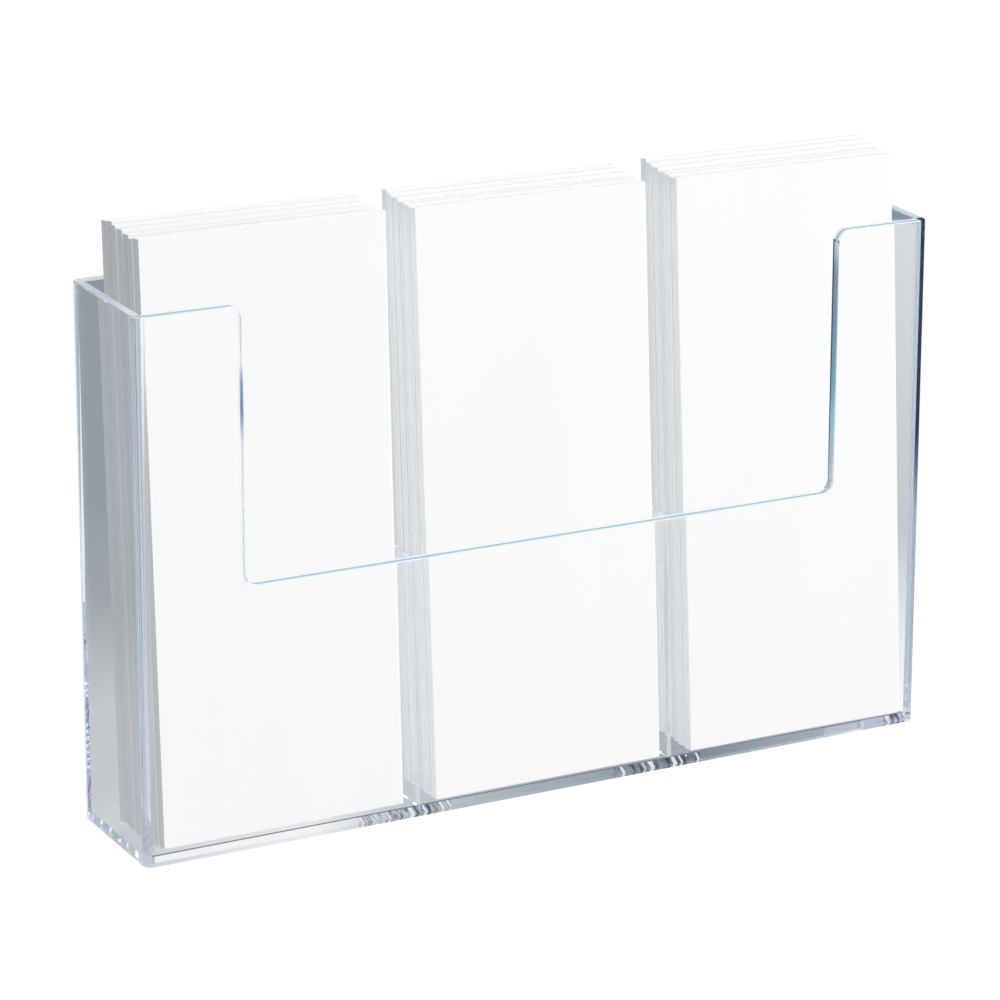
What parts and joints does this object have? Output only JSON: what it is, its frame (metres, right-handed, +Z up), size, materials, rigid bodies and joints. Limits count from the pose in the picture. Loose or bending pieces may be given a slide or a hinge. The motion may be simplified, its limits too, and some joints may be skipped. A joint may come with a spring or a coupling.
{
  "type": "brochure holder",
  "caption": "Clear acrylic counter-top brochure holder with side-by-side pockets and a wide U-shaped front cut-out, filled with blank white brochures.",
  "frame": {"origin": "bottom centre of the bounding box, on the surface the holder stands on", "axes": "+X to the right as seen from the front, +Y to the rear, +Z up"},
  "size_m": [0.346, 0.0695, 0.2328],
  "materials": {
    "clear_acrylic": "clear, polished, with slightly blue cut edges",
    "white_paper": "smooth uncoated white, with the layers of the folded sheets visible on the cut sides"
  },
  "bodies": {
    "holder": {"front_panel": "clear_acrylic", "back_panel": "clear_acrylic", "left_end_wall": "clear_acrylic", "right_end_wall": "clear_acrylic", "base_plate": "clear_acrylic", "left_divider": "clear_acrylic", "right_divider": "clear_acrylic"},
    "left_brochure_1": {"left_brochure_1": "white_paper"},
    "left_brochure_2": {"left_brochure_2": "white_paper"},
    "left_brochure_3": {"left_brochure_3": "white_paper"},
    "left_brochure_4": {"left_brochure_4": "white_paper"},
    "left_brochure_5": {"left_brochure_5": "white_paper"},
    "left_brochure_6": {"left_brochure_6": "white_paper"},
    "left_brochure_7": {"left_brochure_7": "white_paper"},
    "middle_brochure_1": {"middle_brochure_1": "white_paper"},
    "middle_brochure_2": {"middle_brochure_2": "white_paper"},
    "middle_brochure_3": {"middle_brochure_3": "white_paper"},
    "middle_brochure_4": {"middle_brochure_4": "white_paper"},
    "middle_brochure_5": {"middle_brochure_5": "white_paper"},
    "middle_brochure_6": {"middle_brochure_6": "white_paper"},
    "right_brochure_1": {"right_brochure_1": "white_paper"},
    "right_brochure_2": {"right_brochure_2": "white_paper"},
    "right_brochure_3": {"right_brochure_3": "white_paper"},
    "right_brochure_4": {"right_brochure_4": "white_paper"},
    "right_brochure_5": {"right_brochure_5": "white_paper"},
    "right_brochure_6": {"right_brochure_6": "white_paper"}
  },
  "joints": [
    {"name": "left_brochure_1_lift", "type": "slide", "parent": "holder", "child": "left_brochure_1", "axis": [0, 0.1132, 0.9936], "range_m": [0, 0.24]},
    {"name": "left_brochure_2_lift", "type": "slide", "parent": "holder", "child": "left_brochure_2", "axis": [0, 0.1132, 0.9936], "range_m": [0, 0.24]},
    {"name": "left_brochure_3_lift", "type": "slide", "parent": "holder", "child": "left_brochure_3", "axis": [0, 0.1132, 0.9936], "range_m": [0, 0.24]},
    {"name": "left_brochure_4_lift", "type": "slide", "parent": "holder", "child": "left_brochure_4", "axis": [0, 0.1132, 0.9936], "range_m": [0, 0.24]},
    {"name": "left_brochure_5_lift", "type": "slide", "parent": "holder", "child": "left_brochure_5", "axis": [0, 0.1132, 0.9936], "range_m": [0, 0.24]},
    {"name": "left_brochure_6_lift", "type": "slide", "parent": "holder", "child": "left_brochure_6", "axis": [0, 0.1132, 0.9936], "range_m": [0, 0.24]},
    {"name": "left_brochure_7_lift", "type": "slide", "parent": "holder", "child": "left_brochure_7", "axis": [0, 0.1132, 0.9936], "range_m": [0, 0.24]},
    {"name": "middle_brochure_1_lift", "type": "slide", "parent": "holder", "child": "middle_brochure_1", "axis": [0, 0.1297, 0.9916], "range_m": [0, 0.24]},
    {"name": "middle_brochure_2_lift", "type": "slide", "parent": "holder", "child": "middle_brochure_2", "axis": [0, 0.1297, 0.9916], "range_m": [0, 0.24]},
    {"name": "middle_brochure_3_lift", "type": "slide", "parent": "holder", "child": "middle_brochure_3", "axis": [0, 0.1297, 0.9916], "range_m": [0, 0.24]},
    {"name": "middle_brochure_4_lift", "type": "slide", "parent": "holder", "child": "middle_brochure_4", "axis": [0, 0.1297, 0.9916], "range_m": [0, 0.24]},
    {"name": "middle_brochure_5_lift", "type": "slide", "parent": "holder", "child": "middle_brochure_5", "axis": [0, 0.1297, 0.9916], "range_m": [0, 0.24]},
    {"name": "middle_brochure_6_lift", "type": "slide", "parent": "holder", "child": "middle_brochure_6", "axis": [0, 0.1297, 0.9916], "range_m": [0, 0.24]},
    {"name": "right_brochure_1_lift", "type": "slide", "parent": "holder", "child": "right_brochure_1", "axis": [0, 0.134, 0.991], "range_m": [0, 0.24]},
    {"name": "right_brochure_2_lift", "type": "slide", "parent": "holder", "child": "right_brochure_2", "axis": [0, 0.134, 0.991], "range_m": [0, 0.24]},
    {"name": "right_brochure_3_lift", "type": "slide", "parent": "holder", "child": "right_brochure_3", "axis": [0, 0.134, 0.991], "range_m": [0, 0.24]},
    {"name": "right_brochure_4_lift", "type": "slide", "parent": "holder", "child": "right_brochure_4", "axis": [0, 0.134, 0.991], "range_m": [0, 0.24]},
    {"name": "right_brochure_5_lift", "type": "slide", "parent": "holder", "child": "right_brochure_5", "axis": [0, 0.134, 0.991], "range_m": [0, 0.24]},
    {"name": "right_brochure_6_lift", "type": "slide", "parent": "holder", "child": "right_brochure_6", "axis": [0, 0.134, 0.991], "range_m": [0, 0.24]}
  ]
}
